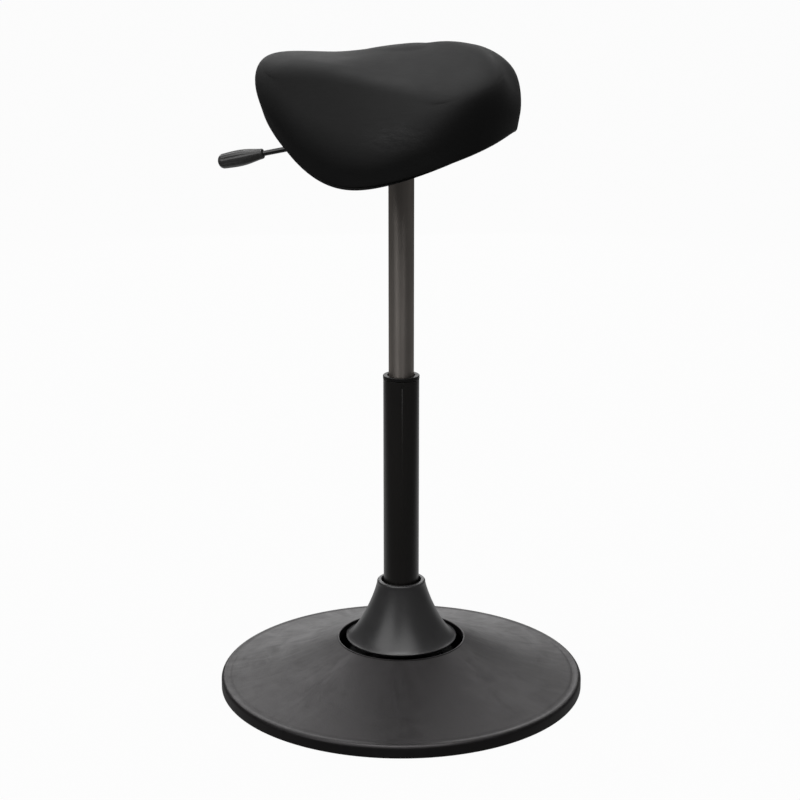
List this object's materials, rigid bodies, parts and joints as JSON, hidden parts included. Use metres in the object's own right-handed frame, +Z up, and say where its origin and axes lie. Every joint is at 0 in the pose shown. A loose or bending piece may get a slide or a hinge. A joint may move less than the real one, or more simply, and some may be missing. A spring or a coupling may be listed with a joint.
{
  "type": "saddle stool",
  "caption": "Saddle stool with a drooping padded seat on a gas-spring column, a release lever under its nose and a tilting foot in a round weighted base.",
  "frame": {"origin": "on the floor at the centre of the round base, below the column's axis", "axes": "+Z up along the column, -Y the way the sitter faces and the seat's nose points, +X the sitter's left"},
  "size_m": [0.4136, 0.4136, 0.7284],
  "materials": {
    "black_plastic": "matte moulded plastic with faint flow marks",
    "steel": "plain machined steel",
    "rubber": "black rubber",
    "boot_plastic": "satin moulded plastic",
    "tube_paint": "satin black powder coat",
    "sleeve_plastic": "smooth bearing plastic",
    "cylinder_finish": "dark burnished metal",
    "leatherette": "smooth black leatherette",
    "foam": "moulded foam",
    "shell_plastic": "black moulded plastic",
    "plate_paint": "black painted steel",
    "lever_paint": "gloss black steel bar",
    "handle_plastic": "semi-gloss moulded plastic"
  },
  "bodies": {
    "base": {"base_cover": "black_plastic", "base_weight": "steel", "floor_ring": "rubber", "cover_screw_1": "steel", "cover_screw_2": "steel", "cover_screw_3": "steel", "cover_screw_4": "steel", "tilt_housing": "steel", "clamp_ring": "steel", "clamp_bolt_1": "steel", "clamp_bolt_2": "steel", "clamp_bolt_3": "steel", "clamp_bolt_4": "steel"},
    "tilt_bush": {"tilt_rubber": "rubber"},
    "column": {"column_socket": "steel", "stand_tube": "tube_paint", "column_boot": "boot_plastic", "guide_sleeve": "sleeve_plastic", "bearing_lower_race": "steel"},
    "ball_cage": {"ball_cage": "steel"},
    "rod": {"piston_rod": "steel", "bearing_upper_race": "steel", "rod_washer": "steel", "rod_clip": "steel", "rubber_buffer": "rubber", "piston": "steel", "piston_seal": "rubber"},
    "seat": {"gas_cylinder": "cylinder_finish", "rod_guide": "sleeve_plastic", "valve_body": "steel", "seat_plate": "plate_paint", "taper_socket": "plate_paint", "seat_shell": "shell_plastic", "under_cover": "shell_plastic", "seat_foam": "foam", "seat_cover": "leatherette", "seat_bolt_1": "steel", "seat_bolt_2": "steel", "seat_bolt_3": "steel", "seat_bolt_4": "steel", "tee_nut_1": "steel", "tee_nut_2": "steel", "tee_nut_3": "steel", "tee_nut_4": "steel", "lever_pivot_pin": "steel", "pivot_clip": "steel"},
    "lever": {"lever_rod": "lever_paint", "lever_handle": "handle_plastic"},
    "release_pin": {"release_pin": "steel"}
  },
  "joints": [
    {"name": "tilt_x", "type": "hinge", "parent": "base", "child": "tilt_bush", "pos_m": [0, 0, 0.024], "axis": [1, 0, 0], "range_deg": [-8, 8], "stiffness_Nm_per_rad": 180},
    {"name": "tilt_y", "type": "hinge", "parent": "tilt_bush", "child": "column", "pos_m": [0, 0, 0.024], "axis": [0, 1, 0], "range_deg": [-8, 8], "stiffness_Nm_per_rad": 180},
    {"name": "swivel", "type": "hinge", "parent": "column", "child": "rod", "pos_m": [0, 0, 0.0264], "axis": [0, 0, 1], "continuous": true},
    {"name": "cage_spin", "type": "hinge", "parent": "column", "child": "ball_cage", "pos_m": [0, 0, 0.0227], "axis": [0, 0, 1], "continuous": true},
    {"name": "height", "type": "slide", "parent": "rod", "child": "seat", "axis": [0, 0, 1], "range_m": [-0.225, 0]},
    {"name": "lever", "type": "hinge", "parent": "seat", "child": "lever", "pos_m": [0, -0.03, 0.6316], "axis": [-1, 0, 0], "range_deg": [0, 6.7]},
    {"name": "release_pin", "type": "slide", "parent": "seat", "child": "release_pin", "axis": [0, 0, -1], "range_m": [0, 0.0032]}
  ],
  "couplings": [
    {"joint": "cage_spin", "follows": "swivel", "ratio": 0.5},
    {"joint": "release_pin", "follows": "lever", "m_per_rad": 0.027}
  ]
}
